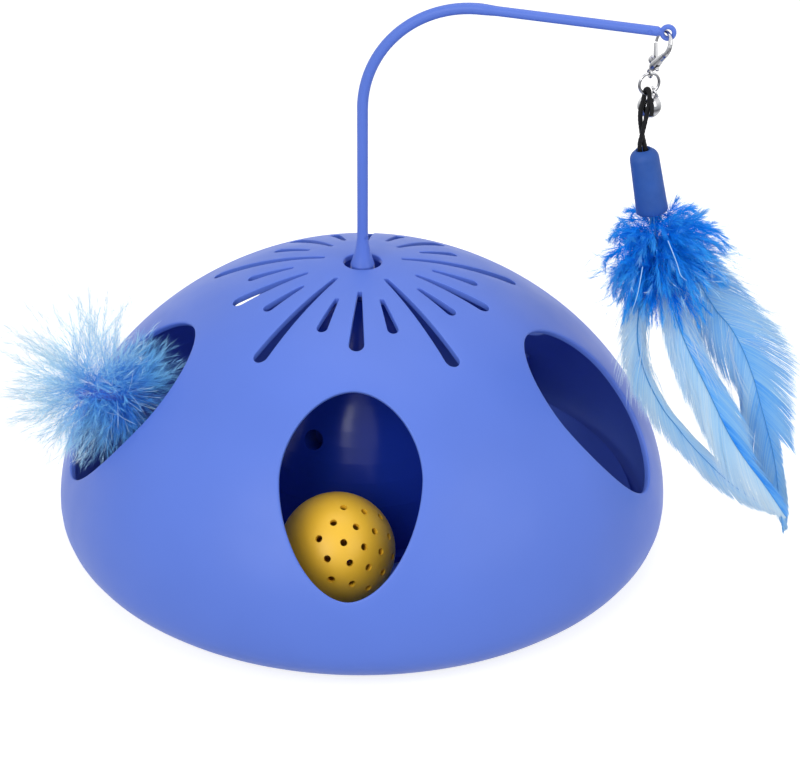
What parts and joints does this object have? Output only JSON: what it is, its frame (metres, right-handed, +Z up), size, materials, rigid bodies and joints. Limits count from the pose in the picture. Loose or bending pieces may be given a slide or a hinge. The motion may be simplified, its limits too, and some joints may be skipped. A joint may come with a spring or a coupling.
{
  "type": "automatic cat feather toy",
  "caption": "Slotted plastic dome over a ring-shaped ball track, with a motorised bent wand that swings a feather lure round the outside and a feather puff in a side opening.",
  "frame": {"origin": "middle of the footprint, on the floor, on the wand's turning axis", "axes": "+Z up along the turning axis, -Y towards the front opening with the ball, +X towards the wand's lure side"},
  "size_m": [0.2902, 0.23, 0.211],
  "materials": {
    "shell_blue": "satin moulded",
    "core_blue": "polished moulded",
    "foot_rubber": "matt",
    "screw_steel": "zinc plated",
    "frame_white": "moulded",
    "gear_nylon": "moulded",
    "brass": "turned",
    "black_plastic": "moulded",
    "cell_jacket": "printed film without marks",
    "board_green": "solder mask",
    "lead_vinyl": "extruded",
    "nickel": "plated",
    "cord_black": "braided",
    "sleeve_blue": "matt",
    "plug_tan": "matt",
    "collar_feather": "down",
    "long_feather": "feather",
    "puff_feather": "down",
    "ball_yellow": "moulded",
    "rattle_yellow": "moulded"
  },
  "bodies": {
    "housing": {"dome_shell": "shell_blue", "base_tray": "shell_blue", "battery_box": "shell_blue", "foot_ring": "foot_rubber", "dome_screws": "screw_steel", "core_cover": "core_blue", "core_screws": "screw_steel", "gear_plate_lower": "frame_white", "gear_plate_upper": "frame_white", "plate_posts": "frame_white", "gearbox_screws": "screw_steel", "gear_axles": "screw_steel", "shaft_bush": "brass", "motor_can": "screw_steel", "motor_cap": "black_plastic", "battery_cell_a": "cell_jacket", "battery_cell_b": "cell_jacket", "battery_contacts": "screw_steel", "circuit_board": "board_green", "motor_leads": "lead_vinyl", "battery_leads": "lead_vinyl", "switch_body": "black_plastic", "puff_stem": "shell_blue", "side_puff": "puff_feather"},
    "spinner": {"output_shaft": "screw_steel", "output_gear": "gear_nylon", "wand_hub": "core_blue"},
    "second_stage": {"second_gear": "gear_nylon"},
    "first_stage": {"first_gear": "gear_nylon"},
    "armature": {"pinion_gear": "brass", "motor_shaft": "screw_steel"},
    "wand_rod": {"wand": "shell_blue"},
    "clasp": {"clasp_body": "nickel", "clasp_pin": "nickel"},
    "gate": {"clasp_gate": "nickel"},
    "ring": {"jump_ring": "nickel"},
    "bell": {"bell_shell": "nickel", "bell_pellet": "screw_steel"},
    "lure": {"lure_cord": "cord_black", "lure_sleeve": "sleeve_blue", "quill_plug": "plug_tan", "collar_puff": "collar_feather", "feather_broad": "long_feather", "feather_middle": "long_feather", "feather_narrow": "long_feather"},
    "ball_core": {"ball_rattle": "rattle_yellow"},
    "ball": {"ball_half_a": "ball_yellow", "ball_half_b": "ball_yellow"},
    "cover": {"battery_cover": "shell_blue", "cover_screw": "screw_steel"},
    "knob": {"switch_knob": "black_plastic"}
  },
  "joints": [
    {"name": "wand_spin", "type": "hinge", "parent": "housing", "child": "spinner", "pos_m": [0, 0, 0.08], "axis": [0, 0, 1], "continuous": true, "deforming": ["collar_puff", "feather_broad", "feather_middle", "feather_narrow"]},
    {"name": "second_gear_spin", "type": "hinge", "parent": "housing", "child": "second_stage", "pos_m": [0.01466, 0.00534, 0.06], "axis": [0, 0, 1], "continuous": true},
    {"name": "first_gear_spin", "type": "hinge", "parent": "housing", "child": "first_stage", "pos_m": [0.00973, 0.01887, 0.06], "axis": [0, 0, 1], "continuous": true},
    {"name": "motor_spin", "type": "hinge", "parent": "housing", "child": "armature", "pos_m": [-0.0038, 0.01394, 0.052], "axis": [0, 0, 1], "continuous": true},
    {"name": "wand_pull", "type": "slide", "parent": "spinner", "child": "wand_rod", "axis": [0, 0, 1], "range_m": [0, 0.016]},
    {"name": "clasp_swing", "type": "hinge", "parent": "wand_rod", "child": "clasp", "pos_m": [0.10299, -0.01447, 0.20499], "axis": [0.1392, 0.9903, 0], "range_deg": [-20, 20]},
    {"name": "gate_open", "type": "hinge", "parent": "clasp", "child": "gate", "pos_m": [0.09956, -0.01382, 0.19519], "axis": [0.8678, 0.4132, -0.2761], "range_deg": [0, 14], "stiffness_Nm_per_rad": 0.004, "springref_deg": -5.73},
    {"name": "ring_swing", "type": "hinge", "parent": "clasp", "child": "ring", "pos_m": [0.09796, -0.01377, 0.19024], "axis": [0.9272, 0.3746, 0], "range_deg": [-15, 15]},
    {"name": "bell_swing", "type": "hinge", "parent": "ring", "child": "bell", "pos_m": [0.10038, -0.01279, 0.18392], "axis": [0.9272, 0.3746, 0], "range_deg": [-12, 12]},
    {"name": "lure_swing", "type": "hinge", "parent": "ring", "child": "lure", "pos_m": [0.09748, -0.01396, 0.18287], "axis": [0.9272, 0.3746, 0], "range_deg": [-20, 20], "deforming": ["lure_cord"]},
    {"name": "ball_orbit", "type": "hinge", "parent": "housing", "child": "ball_core", "pos_m": [0, 0, 0.0328], "axis": [0, 0, 1], "continuous": true},
    {"name": "ball_roll", "type": "hinge", "parent": "ball_core", "child": "ball", "pos_m": [-0.00565, -0.07178, 0.0328], "axis": [-0.0785, -0.9969, 0], "continuous": true},
    {"name": "battery_cover_pull", "type": "slide", "parent": "housing", "child": "cover", "axis": [0, 0, -1], "range_m": [0, 0.015]},
    {"name": "power_switch", "type": "slide", "parent": "housing", "child": "knob", "axis": [1, 0, 0], "range_m": [0, 0.004]}
  ],
  "couplings": [
    {"joint": "second_gear_spin", "follows": "wand_spin", "ratio": -3.3333},
    {"joint": "first_gear_spin", "follows": "wand_spin", "ratio": 10},
    {"joint": "motor_spin", "follows": "wand_spin", "ratio": -30},
    {"joint": "ball_roll", "follows": "ball_orbit", "ratio": -3.5122}
  ]
}
